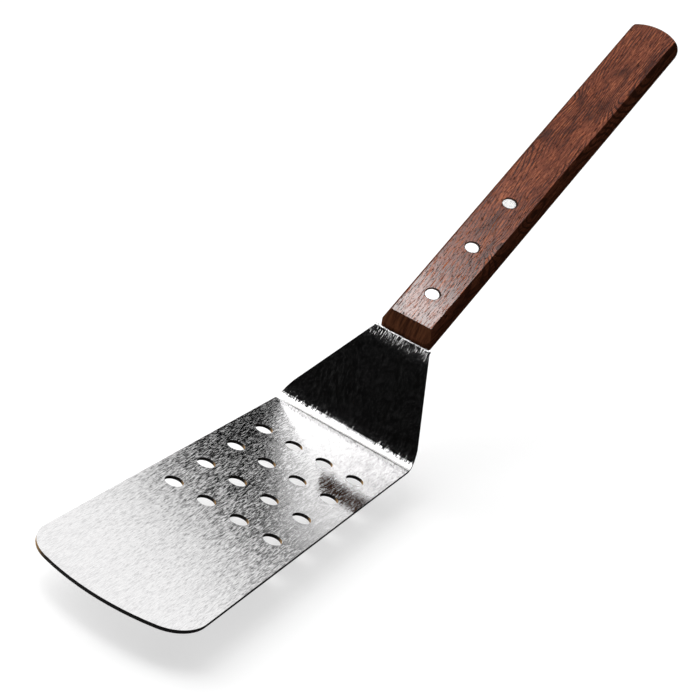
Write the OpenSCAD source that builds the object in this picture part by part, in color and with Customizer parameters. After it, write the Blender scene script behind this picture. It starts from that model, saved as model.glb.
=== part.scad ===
// Perforated offset turner: one bent steel sheet, a long wooden handle and three two-piece rivets.
// Units are millimetres. +X points to the tip, +Z up. The origin is the middle of the blade's underside.

/* [Blade] */
// length of the flat blade, from the sharp corner of the lower bend to the middle of the tip
blade_length = 200; // [180:1:220]
// width of the blade between its parallel sides
blade_width = 71.5; // [66:0.5:78]
// thickness of the steel sheet
sheet = 1.5; // [1.2:0.1:1.6]
// radius of the shallow arc across the tip
tip_radius = 84.3; // [70:0.1:120]
// radius of the two rounded front corners
corner_radius = 16; // [10:0.5:22]

/* [Perforations] */
// diameter of each drain hole
hole_diameter = 8; // [6:0.1:9]
// distance between hole centres across the blade
hole_pitch_across = 15.75; // [14:0.05:17]
// distance between hole centres along the blade
hole_pitch_along = 25.2; // [22:0.1:28]
// distance of the first row from the sharp corner of the lower bend
first_row = 35.1; // [30:0.1:40]
// number of holes in each direction
hole_rows = 4; // [2:1:4]

/* [Neck] */
// angle of the neck above the blade plane, in degrees
neck_angle = 52.7; // [45:0.1:60]
// length of the neck between the sharp corners of its two bends
neck_length = 52; // [48:0.1:58]
// angle of each neck edge to the centreline, in degrees
neck_edge_angle = 24.1; // [20:0.1:25]
// radius of the inner side of the lower bend
lower_bend_radius = 7; // [5:0.1:9]
// radius of the outer side of the upper bend
upper_bend_radius = 3.6; // [3:0.1:4]
// radius of the rounded shoulder where the blade narrows into the neck
shoulder_radius = 40; // [32:0.5:44]
// distance up the neck from the lower bend to where its edge lines reach the blade's width
shoulder_corner = 4.65; // [4:0.05:6]

/* [Tang] */
// angle of the handle above the blade plane, in degrees
handle_angle = 28; // [24:0.1:32]
// width of the tang inside the handle
tang_width = 12; // [11:0.5:14]
// length of the tang behind the centre of the last rivet
tang_tail = 11.8; // [9:0.1:16]
// gap between the tang and the mortise around it
mortise_clearance = 0.1; // [0.05:0.01:0.2]
// extra depth of the mortise behind the tang
mortise_extra = 1.5; // [1:0.1:3]

/* [Handle] */
// distance of the handle's middle plane above the tang's middle plane
handle_rise = 0.38; // [0.3:0.01:0.5]
// height of the upright lip at the foot of the raked nose
lip_height = 0.8; // [0.3:0.1:1.2]
// thickness of the handle
handle_thickness = 15.9; // [15:0.1:17]
// width of the handle at the front
handle_front_width = 26.8; // [26:0.1:28]
// width of the handle at the rear, where its sides would reach the end
handle_rear_width = 30.5; // [29:0.1:32]
// radius of the shallow arc across the rear end, seen from above
rear_arc_radius = 22; // [20:0.5:26]
// radius of the rounded sides, seen from the end
side_radius = 12.5; // [11:0.1:12.9]
// distance from the upper bend to the front edge of the top face
top_face_start = 6.17; // [5:0.01:7]
// length of the flat steel shoulder between the upper bend and the wood
nose_gap = 0.15; // [0.1:0.05:1]
// distance from the upper bend to the rear end of the handle
handle_end = 281.3; // [268:0.1:292]
// radius of the front corners, seen from above
nose_corner_radius = 4; // [3:0.1:4.6]

/* [Rivets] */
// distance from the upper bend to the first rivet
first_rivet = 25.8; // [23:0.1:29]
// distance between rivets
rivet_pitch = 38.1; // [36:0.1:40]
// diameter of the rivet heads
head_diameter = 7.4; // [6.8:0.1:7.6]
// thickness of the rivet heads
head_thickness = 1.6; // [1.2:0.1:2]
// diameter of the hollow shank of the upper rivet half
shank_diameter = 5; // [4.6:0.1:5.4]
// diameter of the solid shank of the lower rivet half
core_diameter = 3; // [2.6:0.1:3.4]
// gap around a rivet head in its counterbore, on the radius
head_clearance = 0.3; // [0.2:0.05:0.4]
// gap around a rivet shank in wood and steel, on the radius
shank_clearance = 0.1; // [0.05:0.01:0.15]
// gap between the two halves of a rivet, on the radius
core_clearance = 0.02; // [0.01:0.01:0.05]
// length left free at each end of the two rivet shanks
end_clearance = 1; // [0.6:0.1:1.4]

/* [Hidden] */
$fn = 96;
rivet_count = 3;
steel_color = [0.78, 0.78, 0.78];
wood_color = [0.36, 0.2, 0.14];
rivet_color = [0.86, 0.86, 0.86];
overrun_share = 0.025;
overrun = blade_width * overrun_share;
blend_share = 0.016;
blend = sheet * blend_share;
shoulder_blend_share = 0.003;
shoulder_blend = shoulder_radius * shoulder_blend_share;
lap_share = 0.9;

blade_half = blade_width / 2;
bend_x = -blade_length / 2;
tip_x = blade_length / 2;
turn_angle = neck_angle - handle_angle;
lower_reach = lower_bend_radius * tan(neck_angle / 2);
upper_reach = upper_bend_radius * tan(turn_angle / 2);

corner_y = blade_half - corner_radius;
corner_run = sqrt(pow(tip_radius - corner_radius, 2) - pow(corner_y, 2));
corner_x = tip_x - tip_radius + corner_run;
spread_share = 1.5;
spread = spread_share * tip_radius / corner_run;

neck_top_s = neck_length - upper_reach;
neck_top_half = blade_half - (neck_top_s - shoulder_corner) * tan(neck_edge_angle);
shoulder_s = shoulder_corner - shoulder_radius * tan(neck_edge_angle / 2);
shoulder_y = blade_half - shoulder_radius;
lower_lap = lap_share * sheet * tan(neck_angle / 2);
upper_lap = (1 - lap_share) * sheet * tan(turn_angle / 2);
strip_half = neck_top_half - blend;

tang_half = tang_width / 2;
tang_length = first_rivet + (rivet_count - 1) * rivet_pitch + tang_tail;
mortise_half = tang_half + mortise_clearance;
band_half = sheet / 2 + mortise_clearance;
lip_half = band_half + handle_rise + lip_height;
thick_half = handle_thickness / 2;

nose_start = upper_reach + nose_gap;
front_half = handle_front_width / 2;
corner_share = 0.95;
rear_half = handle_rear_width / 2;
rear_center = handle_end - rear_arc_radius;
taper = atan((rear_half - front_half) / (handle_end - top_face_start));
side_axis = rear_half * cos(taper) - side_radius;
side_run = handle_end / cos(taper);

counterbore_radius = head_diameter / 2 + head_clearance;
shank_hole_radius = shank_diameter / 2 + shank_clearance;
shank_length = handle_thickness - 2 * head_thickness - end_clearance;
core_hole_radius = core_diameter / 2 + core_clearance;

// Puts its children in the neck's plane: X runs up the neck from the lower bend, Z = 0 is the top face.
module on_neck() {
    translate([bend_x, 0, sheet])
        rotate([0, -neck_angle, 180])
            children();
}

// Puts its children in the tang's plane: X runs to the rear from the upper bend, Z = 0 is the top face.
module on_tang() {
    on_neck()
        translate([neck_length, 0, 0])
            rotate([0, turn_angle, 0])
                children();
}

// Puts its children in the middle plane of the handle, a little above the middle of the tang.
module on_handle() {
    on_tang()
        translate([0, 0, handle_rise - sheet / 2])
            children();
}

// Kite between two lines that touch a circle at the origin: its point lies on +X, where the lines meet.
module kite(radius, half_angle) {
    polygon([
        [0, 0],
        [radius * cos(half_angle), -radius * sin(half_angle)],
        [radius / cos(half_angle), 0],
        [radius * cos(half_angle), radius * sin(half_angle)]
    ]);
}

// A kite with a circle cut out of it, made along Z and centred on it.
module corner_piece(outer, inner, half_angle, height) {
    difference() {
        translate([0, 0, -height / 2])
            linear_extrude(height = height)
                kite(outer, half_angle);
        cylinder(r = inner, h = height + overrun, center = true);
    }
}

// Stands a corner piece across the sheet, its point at the given angle above +X.
module across(angle) {
    rotate([90, 0, 0])
        rotate([0, 0, angle])
            children();
}

// Outline of the flat blade with its rounded front.
module blade_outline() {
    translate([bend_x - lower_lap, -blade_half])
        square([corner_x - bend_x + lower_lap, blade_width]);
    for (side = [-1, 1])
        translate([corner_x, side * corner_y])
            circle(r = corner_radius);
    intersection() {
        translate([tip_x - tip_radius, 0])
            circle(r = tip_radius);
        translate([tip_x - tip_radius, 0])
            polygon([
                [0, 0],
                [spread * corner_run, -spread * corner_y],
                [spread * corner_run, spread * corner_y]
            ]);
    }
}

// The flat blade, pierced by the grid of drain holes.
module blade_plate() {
    hole_first_x = bend_x + first_row;
    hole_first_y = -hole_pitch_across * (hole_rows - 1) / 2;
    difference() {
        linear_extrude(height = sheet)
            blade_outline();
        for (row = [0 : hole_rows - 1])
            for (column = [0 : hole_rows - 1])
                translate([
                    hole_first_x + row * hole_pitch_along,
                    hole_first_y + column * hole_pitch_across,
                    -overrun
                ])
                    cylinder(r = hole_diameter / 2, h = sheet + 2 * overrun);
    }
}

// The tapered neck between the two bends.
module neck_plate() {
    on_neck()
        translate([0, 0, -sheet])
            linear_extrude(height = sheet)
                polygon([
                    [-lower_lap, -blade_half],
                    [shoulder_corner, -blade_half],
                    [neck_top_s, -neck_top_half],
                    [neck_length - upper_lap, -neck_top_half],
                    [neck_length - upper_lap, neck_top_half],
                    [neck_top_s, neck_top_half],
                    [shoulder_corner, blade_half],
                    [-lower_lap, blade_half]
                ]);
}

// Centre of the lower bend, above the sheet.
module at_lower_bend() {
    translate([bend_x + lower_reach, 0, sheet + lower_bend_radius])
        across(270 - neck_angle / 2)
            children();
}

// Centre of the upper bend, below the sheet.
module at_upper_bend() {
    on_neck()
        translate([neck_top_s, 0, -upper_bend_radius])
            across(90 - turn_angle / 2)
                children();
}

// Blade and neck as one sheet. Both bends are rounded outside, and the lower one is filled inside too.
module bent_sheet() {
    difference() {
        union() {
            blade_plate();
            neck_plate();
            on_tang()
                translate([upper_lap, -strip_half, -sheet])
                    cube([nose_start - upper_lap, 2 * strip_half, sheet]);
            at_lower_bend()
                corner_piece(
                    lower_bend_radius + sheet / 2,
                    lower_bend_radius + blend,
                    neck_angle / 2,
                    blade_width
                );
        }
        at_lower_bend()
            corner_piece(
                lower_bend_radius + sheet + overrun,
                lower_bend_radius + sheet + blend,
                neck_angle / 2,
                blade_width + overrun
            );
        at_upper_bend()
            corner_piece(
                upper_bend_radius + overrun,
                upper_bend_radius + blend,
                turn_angle / 2,
                2 * neck_top_half + overrun
            );
        for (side = [-1, 1])
            on_neck()
                translate([shoulder_s, side * shoulder_y, 0])
                    rotate([0, 0, side * (90 - neck_edge_angle / 2)])
                        corner_piece(
                            shoulder_radius + overrun,
                            shoulder_radius + shoulder_blend,
                            neck_edge_angle / 2,
                            blade_width
                        );
    }
}

// The tang inside the handle, with a round rear end and a hole for each rivet.
module tang() {
    on_tang()
        translate([0, 0, -sheet])
            difference() {
                union() {
                    translate([upper_reach, -tang_half, 0])
                        cube([tang_length - tang_half - upper_reach, tang_width, sheet]);
                    translate([tang_length - tang_half, 0, 0])
                        cylinder(r = tang_half, h = sheet);
                }
                for (number = [0 : rivet_count - 1])
                    translate([first_rivet + number * rivet_pitch, 0, -overrun])
                        cylinder(r = shank_hole_radius, h = sheet + 2 * overrun);
            }
}

module blade() {
    color(steel_color)
        union() {
            bent_sheet();
            tang();
        }
}

// Room behind the nose that ends in a shallow arc, as round from top to bottom as the handle's sides.
module end_limit() {
    translate([nose_start - overrun, -rear_half - overrun, -side_radius])
        cube([rear_center - nose_start + overrun, 2 * (rear_half + overrun), 2 * side_radius]);
    translate([rear_center, 0, 0])
        rotate_extrude()
            intersection() {
                union() {
                    translate([rear_arc_radius - side_radius, 0])
                        circle(r = side_radius);
                    translate([0, -side_radius])
                        square([rear_arc_radius - side_radius, 2 * side_radius]);
                }
                translate([0, -thick_half - overrun])
                    square([rear_arc_radius + overrun, 2 * (thick_half + overrun)]);
            }
}

// The handle's outer form: two long rounded sides that widen to the rear, between a flat top and bottom.
module handle_body() {
    intersection() {
        union()
            for (side = [-1, 1])
                translate([handle_end, 0, 0])
                    rotate([0, 0, side * taper])
                        translate([overrun, side * side_axis, 0])
                            rotate([0, -90, 0])
                                cylinder(r = side_radius, h = side_run + overrun);
        end_limit();
        translate([nose_start, -blade_half, -thick_half])
            cube([handle_end, blade_width, handle_thickness]);
    }
}

// Cuts one front corner of the handle to a round, seen from above.
module corner_cut() {
    nose_half = front_half - corner_share * nose_corner_radius;
    translate([nose_start + nose_corner_radius, nose_half, -thick_half - overrun])
        difference() {
            translate([-nose_corner_radius - overrun, 0, 0])
                cube([nose_corner_radius + overrun, front_half, handle_thickness + 2 * overrun]);
            cylinder(r = nose_corner_radius + blend, h = handle_thickness + 2 * overrun);
        }
}

// Cuts the raked upper half of the nose. Its slope runs from the top face down to the upright lip.
module nose_cut() {
    rake = (top_face_start - nose_start) / (thick_half - lip_half);
    translate([0, blade_half, 0])
        rotate([90, 0, 0])
            linear_extrude(height = blade_width)
                polygon([
                    [nose_start, lip_half],
                    [top_face_start + rake * overrun, thick_half + overrun],
                    [nose_start - overrun, thick_half + overrun],
                    [nose_start - overrun, lip_half]
                ]);
}

// The slot that takes the tang, open only at the nose.
module mortise() {
    round_center = tang_length - tang_half + mortise_extra;
    translate([0, 0, -handle_rise - band_half]) {
        translate([nose_start - overrun, -mortise_half, 0])
            cube([round_center - nose_start + overrun, 2 * mortise_half, 2 * band_half]);
        translate([round_center, 0, 0])
            cylinder(r = mortise_half, h = 2 * band_half);
    }
}

module handle() {
    color(wood_color)
        on_handle()
            difference() {
                handle_body();
                nose_cut();
                mirror([0, 0, 1])
                    nose_cut();
                corner_cut();
                mirror([0, 1, 0])
                    corner_cut();
                mortise();
                for (number = [0 : rivet_count - 1])
                    translate([first_rivet + number * rivet_pitch, 0, 0]) {
                        translate([0, 0, -thick_half - overrun])
                            cylinder(r = shank_hole_radius, h = handle_thickness + 2 * overrun);
                        translate([0, 0, thick_half - head_thickness])
                            cylinder(r = counterbore_radius, h = head_thickness + overrun);
                        translate([0, 0, -thick_half - overrun])
                            cylinder(r = counterbore_radius, h = head_thickness + overrun);
                    }
            }
}

// Upper half of one rivet: a flush head and a hollow shank.
module rivet_upper(number) {
    color(rivet_color)
        on_handle()
            translate([first_rivet + (number - 1) * rivet_pitch, 0, 0])
                difference() {
                    union() {
                        translate([0, 0, thick_half - head_thickness])
                            cylinder(r = head_diameter / 2, h = head_thickness);
                        translate([0, 0, thick_half - head_thickness - shank_length])
                            cylinder(r = shank_diameter / 2, h = shank_length);
                    }
                    translate([0, 0, thick_half - head_thickness - shank_length - overrun])
                        cylinder(r = core_hole_radius, h = shank_length + overrun);
                }
}

// Lower half of one rivet: a flush head and a solid shank that fills the upper half's shank.
module rivet_lower(number) {
    color(rivet_color)
        on_handle()
            translate([first_rivet + (number - 1) * rivet_pitch, 0, -thick_half]) {
                cylinder(r = head_diameter / 2, h = head_thickness);
                cylinder(r = core_diameter / 2, h = head_thickness + shank_length);
            }
}

module rivet_upper_1() {
    rivet_upper(1);
}

module rivet_upper_2() {
    rivet_upper(2);
}

module rivet_upper_3() {
    rivet_upper(3);
}

module rivet_lower_1() {
    rivet_lower(1);
}

module rivet_lower_2() {
    rivet_lower(2);
}

module rivet_lower_3() {
    rivet_lower(3);
}

blade();
handle();
rivet_upper_1();
rivet_upper_2();
rivet_upper_3();
rivet_lower_1();
rivet_lower_2();
rivet_lower_3();
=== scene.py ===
"""Perforated offset turner, seen from the photograph's viewpoint.

The CAD frame is used as it stands: x runs along the blade to the tip, z is up, and the blade lies on z = 0.
"""
import math

import bpy
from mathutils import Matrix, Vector

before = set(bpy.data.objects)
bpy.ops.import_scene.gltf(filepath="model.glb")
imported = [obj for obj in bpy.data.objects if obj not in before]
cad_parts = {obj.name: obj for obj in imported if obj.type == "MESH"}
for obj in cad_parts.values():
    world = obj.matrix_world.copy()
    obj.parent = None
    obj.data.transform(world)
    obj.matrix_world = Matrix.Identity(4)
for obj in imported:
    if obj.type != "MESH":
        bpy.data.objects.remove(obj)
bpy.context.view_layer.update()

MM = 0.001

# the mix node's colour inputs and output
MIX_INPUTS = (6, 7)
MIX_OUTPUT = 2

# the top face of the flat blade
BLADE_TOP = 1.5 * MM
# heights above that face over which a bend's marks set in, and over which the lower bend's fade out
LOW_BEND_RISE = (0.02 * MM, 1.7 * MM)
LOW_BEND_FADE = (7.0 * MM, 2.0 * MM)
HIGH_BEND_RISE = (33.5 * MM, 39.5 * MM)
# the same for the matt foot of the lower bend, which is painted pale as a highlight
FOOT_RISE = (0.005 * MM, 0.1 * MM)
FOOT_FADE = (1.4 * MM, 0.7 * MM)
# features per metre of each pattern in the steel, along x, y and z
STREAK_COUNTS = (360.0, 2600.0, 400.0)
WIDE_STREAK_COUNTS = (120.0, 1100.0, 140.0)
CLOUD_COUNTS = (14.0, 22.0, 14.0)
BRISTLE_COUNTS = (230.0, 5200.0, 230.0)
RIDGE_COUNTS = (360.0, 2300.0, 400.0)
# how far the patterns tilt the surface along the tool and roll it to the side
STREAK_TILT = 0.085
WIDE_STREAK_TILT = 0.015
CLOUD_TILT = 0.015
RIDGE_ROLL = 0.035
# the tilt of the bristles at full strength on each bend
LOW_BEND_TILT = 1.6
HIGH_BEND_TILT = 1.76
# roughness of the smoothest and the roughest streaks, and what the bends, the foot and a cut add to it
FACE_ROUGHNESS = (0.05, 0.16)
LOW_BEND_ROUGHNESS = 0.06
HIGH_BEND_ROUGHNESS = 0.07
FOOT_ROUGHNESS = 0.32
CUT_ROUGHNESS = 0.5
STEEL_COLOURS = ((0.35, (0.41, 0.407, 0.41)), (0.65, (0.55, 0.547, 0.547)))
# a pale colour painted on the lower bend's foot as a highlight
FOOT_HIGHLIGHT_COLOUR = (0.9, 0.895, 0.89)
# a cut face of the sheet looks further aside than this, or less far up or down
CUT_FACING = 0.15
# black painted shade on the cut faces, and a tan painted reflection where they look towards -y
CUT_SHADE_BLACK = (0.035, 0.034, 0.034)
CUT_REFLECTION_TAN = (0.42, 0.26, 0.12)

HANDLE_ANGLE = math.radians(28.0)
# where the tang leaves the upper bend, the start of the lengths along the handle
HANDLE_START = Vector((-131.5, 0.0, 41.4)) * MM
# how far the handle's edges are rounded, and the least turn in degrees that counts as an edge
HANDLE_EDGE_ROUND = 0.5 * MM
HANDLE_EDGE_ANGLE = 25.0
# features per metre of each pattern in the wood: along, across and up through the handle
FIBRE_COUNTS = (120.0, 1900.0, 1900.0)
FLOW_COUNTS = (32.0, 420.0, 420.0)
STAIN_COUNTS = (22.0, 70.0, 70.0)
PORE_COUNTS = (420.0, 1700.0, 1700.0)
SLIT_COUNTS = (130.0, 1100.0, 1100.0)
RING_BEND_COUNTS = (16.0, 60.0, 60.0)
RING_FADE_COUNTS = (30.0, 120.0, 120.0)
SAWN_COUNTS = (90.0, 800.0, 90.0)
# spacing of the growth rings, and how far noise pushes them to the side
RING_PITCH = 1.7 * MM
RING_WANDER = 11.0 * MM
# knots in mm: place to the rear and aside, half length, half width, and push on the rings
KNOTS = (
    (70.8, 9.0, 8.0, 4.0, 7.0),
    (208.0, 9.0, 18.0, 5.0, 9.0),
    (104.0, 12.0, 12.0, 5.0, 6.0),
    (194.0, -10.0, 12.0, 4.0, -6.0),
    (150.0, -13.0, 10.0, 4.0, 6.0),
    (240.0, 13.0, 20.0, 4.0, 6.0),
)
# how squarely a face of the wood looks up or down on the top and bottom, and forward on the front end
TOP_FACING = (0.85, 0.98)
END_FACING = (0.35, 0.6)
# heights above the handle's start plane between which painted shade makes the front end darker downwards
FRONT_PALE = 2.5 * MM
FRONT_DARK = -4.0 * MM
GRAIN_COLOURS = (
    (0.4, (0.1, 0.027, 0.015)),
    (0.475, (0.215, 0.06, 0.031)),
    (0.54, (0.295, 0.088, 0.046)),
    (0.61, (0.46, 0.15, 0.07)),
)
SAWN_COLOURS = ((0.4, (0.08, 0.027, 0.014)), (0.6, (0.36, 0.135, 0.062)))
STAIN_COLOUR = (0.06, 0.02, 0.014)
RING_COLOUR = (0.05, 0.016, 0.011)
PORE_COLOUR = (0.025, 0.009, 0.006)
# painted shade on the handle's side faces
SIDE_SHADE_COLOUR = (0.03, 0.011, 0.0055)
# painted shade at the bottom of the handle's front end
FRONT_SHADE_COLOUR = (0.03, 0.01, 0.006)
# height of the relief in the wood
GRAIN_DEPTH = 0.1 * MM

# the first rivet's distance behind the handle's start, and the step to the next
FIRST_RIVET = 25.8 * MM
RIVET_PITCH = 38.1 * MM
RIVET_COUNT = 3
# distances from a rivet's axis over which the painted shade at its rim sets in and ends
RIM_RISE = (3.3 * MM, 3.5 * MM)
RIM_FADE = (9.0 * MM, 8.0 * MM)
SCUFF_COUNTS = (500.0, 900.0, 500.0)
SCUFF_DEPTH = 0.01 * MM
RIVET_COLOURS = ((0.3, (0.58, 0.578, 0.575)), (0.7, (0.64, 0.637, 0.632)))
# painted shade at each rivet head's rim
RIM_SHADE_COLOUR = (0.04, 0.025, 0.02)

# the tool hangs a little above the floor, as its shadow in the photograph shows
FLOOR_DROP = 14.0 * MM
FLOOR_SIZE = 60.0
# the floor's paint where light bounces off it and where it is seen, and its glow where it is seen
FLOOR_BOUNCE = (0.12, 0.12, 0.12)
FLOOR_SEEN = (0.48, 0.48, 0.48)
FLOOR_GLOW = 0.56

# level directions towards the panel and along its foot
PANEL_TOWARD = (-0.906, -0.423, 0.0)
PANEL_ALONG = (0.3206, -0.9472, 0.0)
# brightness of the panel and of the card beside its foot, by the sine of the elevation
PANEL_STOPS = (
    (0.466, 0.0),
    (0.477, 0.09),
    (0.489, 0.36),
    (0.509, 0.69),
    (0.545, 0.95),
    (0.72, 0.9),
    (0.8, 0.06),
)
CARD_STOPS = ((0.455, 1.0), (0.471, 0.82), (0.483, 0.56), (0.4955, 0.42), (0.515, 0.0))
# the card's near edge, measured along the panel's foot
CARD_EDGE = 0.0145
PANEL_LIGHT = 1.9
CARD_LIGHT = 2.1
HALO_LIGHT = 1.3
BAND_LIGHT = 0.55
OVERHEAD_LIGHT = 0.6
FAINT_LIGHT = 0.005
# angles in degrees: the halo's inner and outer edge round the key lamp, and the top of the wall
HALO_INNER = 12.0
HALO_OUTER = 19.0
WALL_FULL = 2.0
WALL_END = 5.0

# each lamp's direction, strength and width in degrees
KEY_TOWARD = (0.0, -0.3502, 0.9367)
KEY_STRENGTH = 0.63
KEY_ANGLE = 28.0
FILL_TOWARD = (0.0, -0.8, 0.6)
FILL_STRENGTH = 2.7
FILL_ANGLE = 60.0

# the photograph's viewpoint, solved from the hole grid, the bends and the handle's outline
CAMERA_PLACE = Vector((522.5497, 194.6414, 317.145)) * MM
# turns in degrees about x, y and z, and the lens and the sensor's width in mm
CAMERA_TURN = (65.5345, -19.3508, 116.8733)
CAMERA_LENS = 81.8825
CAMERA_SENSOR = 36.0
CAMERA_NEAR = 0.01
CAMERA_FAR = 100.0


def new_material(name):
    """An empty node material and its tree."""
    material = bpy.data.materials.new(name)
    material.use_nodes = True
    tree = material.node_tree
    tree.nodes.clear()
    return material, tree


def add(tree, kind, inputs=None, **settings):
    """A new node with some of its input values and settings set."""
    made = tree.nodes.new(kind)
    for key, value in settings.items():
        setattr(made, key, value)
    for key, value in (inputs or {}).items():
        made.inputs[key].default_value = value
    return made


def feed(tree, target, slot, value):
    """Puts a number or another node's result on an input."""
    if isinstance(value, (int, float)):
        target.inputs[slot].default_value = value
    else:
        tree.links.new(value, target.inputs[slot])


def new_shader(tree, inputs):
    """A principled shader without a plain gloss, already on the material's output."""
    shader = add(tree, "ShaderNodeBsdfPrincipled", {"Specular IOR Level": 0.0, **inputs})
    feed(tree, add(tree, "ShaderNodeOutputMaterial"), "Surface", shader.outputs["BSDF"])
    return shader


def compute(tree, operation, first, second=None):
    """The result of a math node on one or two values."""
    made = add(tree, "ShaderNodeMath", operation=operation)
    feed(tree, made, 0, first)
    if second is not None:
        feed(tree, made, 1, second)
    return made.outputs["Value"]


def total(tree, first, *others):
    """All the values added up."""
    for other in others:
        first = compute(tree, "ADD", first, other)
    return first


def product(tree, first, *others):
    """All the values multiplied."""
    for other in others:
        first = compute(tree, "MULTIPLY", first, other)
    return first


def rest(tree, value):
    """What is left of one."""
    return compute(tree, "SUBTRACT", 1.0, value)


def span(tree, value, low, high, start=0.0, end=1.0, smooth=True):
    """A value taken from one range to another, held at both ends."""
    made = add(tree, "ShaderNodeMapRange", interpolation_type="SMOOTHSTEP" if smooth else "LINEAR")
    for slot, limit in (("From Min", low), ("From Max", high), ("To Min", start), ("To Max", end)):
        made.inputs[slot].default_value = limit
    feed(tree, made, "Value", value)
    return made.outputs["Result"]


def window(tree, value, rise, fade):
    """One between a rise and a fade, none outside them."""
    return product(tree, span(tree, value, *rise), span(tree, value, *fade))


def ramp(tree, value, stops):
    """A colour ramp from (position, colour) pairs. A plain number makes a grey."""
    made = add(tree, "ShaderNodeValToRGB")
    elements = made.color_ramp.elements
    while len(elements) < len(stops):
        elements.new(1.0)
    for element, (position, colour) in zip(elements, stops):
        element.position = position
        if isinstance(colour, (int, float)):
            colour = (colour, colour, colour)
        element.color = (*colour, 1.0)
    feed(tree, made, "Fac", value)
    return made.outputs["Color"]


def blend(tree, factor, first, second):
    """Two colours mixed by a factor."""
    made = add(tree, "ShaderNodeMix", data_type="RGBA")
    feed(tree, made, 0, factor)
    for slot, colour in zip(MIX_INPUTS, (first, second)):
        if isinstance(colour, tuple):
            made.inputs[slot].default_value = (*colour, 1.0)
        else:
            tree.links.new(colour, made.inputs[slot])
    return made.outputs[MIX_OUTPUT]


def noise(tree, place, counts, detail=3.0, roughness=0.5, distortion=0.0, shift=0.0):
    """Noise with its own count of features per metre along each axis."""
    stretch = add(tree, "ShaderNodeMapping", {"Scale": counts, "Location": (shift, shift, shift)})
    feed(tree, stretch, "Vector", place)
    look = {"Scale": 1.0, "Detail": detail, "Roughness": roughness, "Distortion": distortion}
    made = add(tree, "ShaderNodeTexNoise", look)
    feed(tree, made, "Vector", stretch.outputs["Vector"])
    return made.outputs["Fac"]


def wobble(tree, pattern, amount):
    """A pattern centred on nothing, at a given strength."""
    return product(tree, compute(tree, "SUBTRACT", pattern, 0.5), amount)


def split(tree, vector):
    """The x, y and z of a vector."""
    made = add(tree, "ShaderNodeSeparateXYZ")
    feed(tree, made, "Vector", vector)
    return made.outputs["X"], made.outputs["Y"], made.outputs["Z"]


def reach_along(tree, vector, direction):
    """How far a vector reaches along a fixed direction."""
    made = add(tree, "ShaderNodeVectorMath", operation="DOT_PRODUCT")
    feed(tree, made, 0, vector)
    made.inputs[1].default_value = direction
    return made.outputs["Value"]


def object_place(tree):
    """The place of each point in the CAD frame."""
    return add(tree, "ShaderNodeTexCoord").outputs["Object"]


def true_normal(tree):
    """The direction that each face looks in."""
    return add(tree, "ShaderNodeNewGeometry").outputs["True Normal"]


def put_bump(tree, shader, height, strength, distance):
    """Raises the surface of a shader by a height pattern."""
    bump = add(tree, "ShaderNodeBump", {"Strength": strength, "Distance": distance})
    feed(tree, bump, "Height", height)
    feed(tree, shader, "Normal", bump.outputs["Normal"])


def handle_place(tree):
    """The place in the handle's own frame: -x runs to the rear, y across, z up through the handle."""
    sine = math.sin(HANDLE_ANGLE)
    cosine = math.cos(HANDLE_ANGLE)
    start_x = HANDLE_START.x * cosine - HANDLE_START.z * sine
    start_z = HANDLE_START.x * sine + HANDLE_START.z * cosine
    turn = add(
        tree,
        "ShaderNodeMapping",
        {"Rotation": (0.0, -HANDLE_ANGLE, 0.0), "Location": (-start_x, 0.0, -start_z)},
    )
    feed(tree, turn, "Vector", object_place(tree))
    return turn.outputs["Vector"]


def streak_tilt(tree, place, streaks, low_bend, high_bend):
    """How far the streaks tilt the surface about the y axis, so that they fray the edge of a reflection."""
    wide_streaks = noise(tree, place, WIDE_STREAK_COUNTS, detail=2.0, shift=3.7)
    clouds = noise(tree, place, CLOUD_COUNTS, detail=2.0, shift=9.1)
    bristles = noise(tree, place, BRISTLE_COUNTS, detail=1.0, shift=5.7)
    flat_tilt = total(
        tree,
        wobble(tree, streaks, STREAK_TILT),
        wobble(tree, wide_streaks, WIDE_STREAK_TILT),
        wobble(tree, clouds, CLOUD_TILT),
    )
    # bending has stretched the streaks open on and just beyond both bends
    opened = total(tree, product(tree, low_bend, LOW_BEND_TILT), product(tree, high_bend, HIGH_BEND_TILT))
    return total(tree, flat_tilt, wobble(tree, bristles, opened))


def lean_normal(tree, tilt, roll):
    """The surface's direction, leaned along x by the tilt and along y by the roll."""
    lean = add(tree, "ShaderNodeCombineXYZ")
    feed(tree, lean, "X", tilt)
    feed(tree, lean, "Y", roll)
    leaned = add(tree, "ShaderNodeVectorMath", operation="ADD")
    feed(tree, leaned, 0, add(tree, "ShaderNodeNewGeometry").outputs["Normal"])
    feed(tree, leaned, 1, lean.outputs["Vector"])
    unit = add(tree, "ShaderNodeVectorMath", operation="NORMALIZE")
    feed(tree, unit, 0, leaned.outputs["Vector"])
    return unit.outputs["Vector"]


def cut_faces(tree):
    """Where the sheet is cut: the outline, the holes' walls and the sides of the neck. Also their colour:
    black painted shade, turning to a tan painted reflection where they look towards -y.
    """
    y_facing, z_facing = split(tree, true_normal(tree))[1:]
    sideways = compute(tree, "GREATER_THAN", compute(tree, "ABSOLUTE", y_facing), CUT_FACING)
    upright = compute(tree, "LESS_THAN", compute(tree, "ABSOLUTE", z_facing), CUT_FACING)
    warm_reflection = span(tree, y_facing, -0.2, -0.8)
    return compute(tree, "MAXIMUM", sideways, upright), blend(tree, warm_reflection, CUT_SHADE_BLACK, CUT_REFLECTION_TAN)


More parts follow.
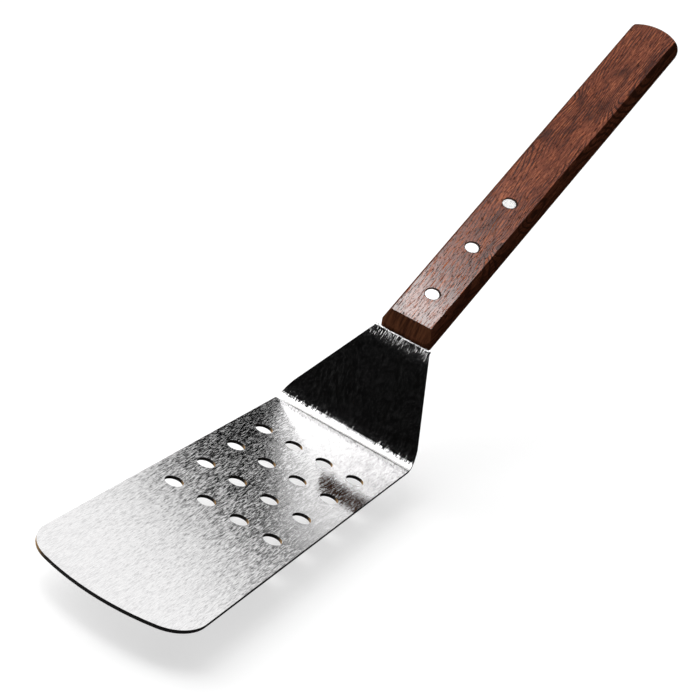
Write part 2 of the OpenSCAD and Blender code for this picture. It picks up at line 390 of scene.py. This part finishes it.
def steel_material():
    """Satin sheet steel with short rubbed streaks along the tool, and cut edges with painted shade and a
    painted reflection.
    """
    material, tree = new_material("brushed_sheet")
    shader = new_shader(tree, {})
    place = object_place(tree)
    height = compute(tree, "SUBTRACT", split(tree, place)[2], BLADE_TOP)
    low_bend = window(tree, height, LOW_BEND_RISE, LOW_BEND_FADE)
    high_bend = span(tree, height, *HIGH_BEND_RISE)
    # the foot of the lower bend is matt, and painted pale as a highlight
    foot = window(tree, height, FOOT_RISE, FOOT_FADE)
    cut, cut_painted_colour = cut_faces(tree)

    streaks = noise(tree, place, STREAK_COUNTS, detail=2.0, roughness=0.65)
    ridges = noise(tree, place, RIDGE_COUNTS, detail=1.0, shift=6.3)
    tilt = streak_tilt(tree, place, streaks, low_bend, high_bend)
    feed(tree, shader, "Normal", lean_normal(tree, tilt, wobble(tree, ridges, RIDGE_ROLL)))

    # the foot band gets the pale painted highlight
    face_colour = blend(tree, foot, ramp(tree, streaks, STEEL_COLOURS), FOOT_HIGHLIGHT_COLOUR)
    dull = total(
        tree,
        product(tree, low_bend, LOW_BEND_ROUGHNESS),
        product(tree, high_bend, HIGH_BEND_ROUGHNESS),
        product(tree, foot, FOOT_ROUGHNESS),
    )
    face_rough = total(tree, span(tree, streaks, 0.42, 0.64, *FACE_ROUGHNESS), dull)
    # the cut faces take the painted shade and painted reflection colour
    feed(tree, shader, "Base Color", blend(tree, cut, face_colour, cut_painted_colour))
    feed(tree, shader, "Metallic", rest(tree, cut))
    feed(tree, shader, "Roughness", total(tree, product(tree, cut, CUT_ROUGHNESS), face_rough))
    return material


def knot_swirl(tree, back, y):
    """How far the knots push the growth rings, and how near the nearest knot is."""
    push = 0.0
    nearness = 0.0
    for rearward, sideward, long, wide, knot_push in KNOTS:
        x_share = compute(tree, "DIVIDE", compute(tree, "SUBTRACT", back, rearward * MM), long * MM)
        y_share = compute(tree, "DIVIDE", compute(tree, "SUBTRACT", y, sideward * MM), wide * MM)
        apart = total(tree, product(tree, x_share, x_share), product(tree, y_share, y_share))
        closeness = compute(tree, "DIVIDE", 1.0, total(tree, apart, 1.0))
        push = total(tree, product(tree, closeness, knot_push * MM), push)
        nearness = compute(tree, "MAXIMUM", closeness, nearness)
    return push, nearness


def growth_rings(tree, place, back, y, z):
    """Dark rings: a slow slope across the handle, bent by noise and by knots."""
    wander = noise(tree, place, RING_BEND_COUNTS, detail=2.0)
    push, nearness = knot_swirl(tree, back, y)
    slope = total(tree, y, product(tree, z, 0.6), product(tree, back, 0.12))
    ring = total(tree, slope, product(tree, wander, RING_WANDER), push)
    wave = compute(tree, "SINE", product(tree, ring, 2.0 * math.pi / RING_PITCH))
    strength = noise(tree, place, RING_FADE_COUNTS, detail=2.0, shift=5.3)
    strength = span(tree, strength, 0.4, 0.58, 0.2, 0.95)
    clear = compute(tree, "MAXIMUM", strength, span(tree, nearness, 0.2, 0.5))
    return product(tree, span(tree, wave, 0.1, 0.7), clear)


def open_grain(tree, place):
    """The dark pores and the fewer, longer slits."""
    pores = noise(tree, place, PORE_COUNTS, detail=2.0, distortion=0.2, shift=4.1)
    slits = noise(tree, place, SLIT_COUNTS, detail=2.0, distortion=0.4, shift=8.9)
    return compute(
        tree,
        "MAXIMUM",
        product(tree, span(tree, pores, 0.57, 0.65), 0.8),
        span(tree, slits, 0.66, 0.72),
    )


def sawn_colour(tree, place, z):
    """End grain in bands, with painted shade making it darker towards the bottom of the handle's front end.
    """
    bands = noise(tree, place, SAWN_COUNTS, roughness=0.6, distortion=0.3, shift=1.9)
    shade = span(tree, z, FRONT_PALE, FRONT_DARK, 0.0, 0.85)
    return blend(tree, shade, ramp(tree, bands, SAWN_COLOURS), FRONT_SHADE_COLOUR)


def wood_material():
    """Dark stained hardwood: fine fibres and pores along the handle, a few wild rings and cloudy stain."""
    material, tree = new_material("stained_wood")
    shader = new_shader(tree, {"Roughness": 0.65, "Coat Roughness": 0.1, "Coat IOR": 2.0})
    place = handle_place(tree)
    x, y, z = split(tree, place)
    back = product(tree, x, -1.0)

    fibres = noise(tree, place, FIBRE_COUNTS, roughness=0.7, distortion=0.5)
    flow = noise(tree, place, FLOW_COUNTS, detail=4.0, roughness=0.65, distortion=1.4, shift=2.2)
    clouds = noise(tree, place, STAIN_COUNTS, roughness=0.55, distortion=0.6, shift=7.7)
    rings = growth_rings(tree, place, back, y, z)
    pores = open_grain(tree, place)
    tone = total(tree, product(tree, fibres, 0.6), product(tree, flow, 0.4))
    colour = ramp(tree, tone, GRAIN_COLOURS)
    colour = blend(tree, span(tree, clouds, 0.53, 0.68, 0.0, 0.8), colour, STAIN_COLOUR)
    colour = blend(tree, product(tree, rings, 0.85), colour, RING_COLOUR)
    colour = blend(tree, pores, colour, PORE_COLOUR)

    # sawn ends show their own grain, and the sides are painted darker than the top and the bottom, as shade
    facing = true_normal(tree)
    frontward = reach_along(tree, facing, (math.cos(HANDLE_ANGLE), 0.0, -math.sin(HANDLE_ANGLE)))
    upward = reach_along(tree, facing, (math.sin(HANDLE_ANGLE), 0.0, math.cos(HANDLE_ANGLE)))
    end_grain = span(tree, frontward, *END_FACING, 0.0, 0.8)
    colour = blend(tree, end_grain, colour, sawn_colour(tree, place, z))
    level = span(tree, compute(tree, "ABSOLUTE", upward), *TOP_FACING)
    colour = blend(tree, product(tree, rest(tree, level), 0.68), colour, SIDE_SHADE_COLOUR)
    feed(tree, shader, "Base Color", colour)

    # the top is polished between the pores, the other faces are only oiled
    open_wood = compute(tree, "MAXIMUM", pores, span(tree, fibres, 0.52, 0.6))
    top = span(tree, upward, *TOP_FACING)
    feed(tree, shader, "Coat Weight", product(tree, top, rest(tree, open_wood)))
    relief = compute(tree, "SUBTRACT", product(tree, fibres, 0.5), pores)
    put_bump(tree, shader, relief, 0.25, GRAIN_DEPTH)
    return material


def shaded_rims(tree):
    """The painted shade at the rim of each rivet head."""
    x, y = split(tree, handle_place(tree))[:2]
    back = product(tree, x, -1.0)
    rim_shade = 0.0
    for number in range(RIVET_COUNT):
        behind = compute(tree, "SUBTRACT", back, FIRST_RIVET + number * RIVET_PITCH)
        reach = compute(tree, "SQRT", total(tree, product(tree, behind, behind), product(tree, y, y)))
        rim_shade = compute(tree, "MAXIMUM", window(tree, reach, RIM_RISE, RIM_FADE), rim_shade)
    return rim_shade


def rivet_material():
    """Bright rivet metal, filed flush with the wood, with painted shade at its rim."""
    material, tree = new_material("rivet_metal")
    shader = new_shader(tree, {})
    scuffs = noise(tree, object_place(tree), SCUFF_COUNTS, roughness=0.6)
    rim_shade = shaded_rims(tree)
    # the rim is painted dark as shade
    feed(tree, shader, "Base Color", blend(tree, rim_shade, ramp(tree, scuffs, RIVET_COLOURS), RIM_SHADE_COLOUR))
    feed(tree, shader, "Metallic", rest(tree, rim_shade))
    feed(tree, shader, "Roughness", span(tree, scuffs, 0.3, 0.7, 0.25, 0.32))
    put_bump(tree, shader, scuffs, 0.1, SCUFF_DEPTH)
    return material


def dress(node, material):
    """Gives every material slot of a CAD node the same material."""
    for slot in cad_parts[node].material_slots:
        slot.material = material


def soften(node, width, least_angle):
    """Rounds the sharp edges of a CAD node with a modifier."""
    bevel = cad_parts[node].modifiers.new("soft_edges", "BEVEL")
    bevel.width = width
    bevel.segments = 3
    bevel.limit_method = "ANGLE"
    bevel.angle_limit = math.radians(least_angle)


def floor_material():
    """A pale paint that looks white to the camera and in the metal, and keeps the shadow."""
    material, tree = new_material("floor_paint")
    rays = add(tree, "ShaderNodeLightPath").outputs
    seen = compute(tree, "MAXIMUM", rays["Is Camera Ray"], rays["Is Glossy Ray"])
    seen = compute(tree, "MAXIMUM", seen, rays["Is Transmission Ray"])
    paint = add(tree, "ShaderNodeBsdfDiffuse")
    feed(tree, paint, "Color", blend(tree, seen, FLOOR_BOUNCE, FLOOR_SEEN))
    glow = add(tree, "ShaderNodeEmission", {"Color": (1.0, 1.0, 1.0, 1.0)})
    feed(tree, glow, "Strength", product(tree, seen, FLOOR_GLOW))
    both = add(tree, "ShaderNodeAddShader")
    feed(tree, both, 0, paint.outputs["BSDF"])
    feed(tree, both, 1, glow.outputs["Emission"])
    feed(tree, add(tree, "ShaderNodeOutputMaterial"), "Surface", both.outputs["Shader"])
    return material


def make_floor():
    """A wide floor below the tool."""
    bpy.ops.mesh.primitive_plane_add(size=FLOOR_SIZE, location=(0.0, 0.0, -FLOOR_DROP))
    floor = bpy.context.object
    floor.name = "floor"
    floor.data.materials.append(floor_material())


def panel_light(tree, rise, aside):
    """A tall white panel whose foot slopes a little."""
    slope = span(tree, aside, -0.15, 0.15, -0.09, 0.045, smooth=False)
    return ramp(tree, total(tree, rise, slope), PANEL_STOPS)


def card_light(tree, rise, aside):
    """A low card beside the panel's foot. Its near edge leans, and is sharper at the foot."""
    lean = span(tree, rise, 0.4386, 0.5, -0.003, 0.034, smooth=False)
    reach = compute(tree, "SUBTRACT", total(tree, aside, lean), CARD_EDGE)
    width = span(tree, rise, 0.44, 0.49, 0.007, 0.042, smooth=False)
    edge = span(tree, compute(tree, "DIVIDE", reach, width), 0.5, -0.5)
    far_edge = span(tree, aside, -0.5, -0.35)
    return product(tree, edge, far_edge, ramp(tree, rise, CARD_STOPS), span(tree, rise, 0.15, 0.22))


def halo_light(tree, toward):
    """A soft halo round the key lamp."""
    nearness = reach_along(tree, toward, KEY_TOWARD)
    inner = math.cos(math.radians(HALO_INNER))
    outer = math.cos(math.radians(HALO_OUTER))
    return span(tree, nearness, outer, inner, 0.0, HALO_LIGHT)


def make_world():
    """A dark studio with a white panel and a card behind the tool, and a low white wall all round."""
    world = bpy.data.worlds.new("studio")
    bpy.context.scene.world = world
    world.use_nodes = True
    tree = world.node_tree
    tree.nodes.clear()
    light = add(tree, "ShaderNodeBackground", {"Color": (1.0, 1.0, 1.0, 1.0)})
    feed(tree, add(tree, "ShaderNodeOutputWorld"), "Surface", light.outputs["Background"])

    toward = add(tree, "ShaderNodeTexCoord").outputs["Generated"]
    rise = split(tree, toward)[2]
    aside = reach_along(tree, toward, PANEL_ALONG)
    side = span(tree, reach_along(tree, toward, PANEL_TOWARD), 0.05, 0.25)
    panel = product(tree, panel_light(tree, rise, aside), side, PANEL_LIGHT)
    card = product(tree, card_light(tree, rise, aside), side, CARD_LIGHT)
    bright = total(tree, panel, total(tree, card, halo_light(tree, toward)))
    # a dim band above the wall on the side away from the panel
    band = product(tree, span(tree, rise, 0.5, 0.1, 0.0, BAND_LIGHT), rest(tree, side))
    wall = span(tree, rise, math.sin(math.radians(WALL_END)), math.sin(math.radians(WALL_FULL)))
    around = compute(tree, "MAXIMUM", compute(tree, "MAXIMUM", bright, band), wall)
    overhead = span(tree, rise, 0.968, 0.992, 0.0, OVERHEAD_LIGHT)
    feed(tree, light, "Strength", total(tree, around, FAINT_LIGHT, overhead))


def sun_lamp(name, toward, strength, angle):
    """A broad lamp, far away, so that its light is even over the whole tool."""
    data = bpy.data.lights.new(name, "SUN")
    data.energy = strength
    data.angle = math.radians(angle)
    lamp = bpy.data.objects.new(name, data)
    lamp.rotation_euler = Vector(toward).to_track_quat("Z", "Y").to_euler()
    lamp.location = toward
    bpy.context.collection.objects.link(lamp)


def make_camera():
    """A camera at the photograph's viewpoint."""
    data = bpy.data.cameras.new("camera")
    data.sensor_width = CAMERA_SENSOR
    data.lens = CAMERA_LENS
    data.clip_start = CAMERA_NEAR
    data.clip_end = CAMERA_FAR
    camera = bpy.data.objects.new("camera", data)
    camera.location = CAMERA_PLACE
    camera.rotation_euler = [math.radians(turn) for turn in CAMERA_TURN]
    bpy.context.collection.objects.link(camera)
    bpy.context.scene.camera = camera


rivet_metal = rivet_material()
dress("blade", steel_material())
dress("handle", wood_material())
for number in range(1, RIVET_COUNT + 1):
    dress(f"rivet_upper_{number}", rivet_metal)
    dress(f"rivet_lower_{number}", rivet_metal)
soften("handle", HANDLE_EDGE_ROUND, HANDLE_EDGE_ANGLE)

make_floor()
make_world()
make_camera()
sun_lamp("key", KEY_TOWARD, KEY_STRENGTH, KEY_ANGLE)
sun_lamp("fill", FILL_TOWARD, FILL_STRENGTH, FILL_ANGLE)

bpy.context.scene.view_settings.view_transform = "Standard"
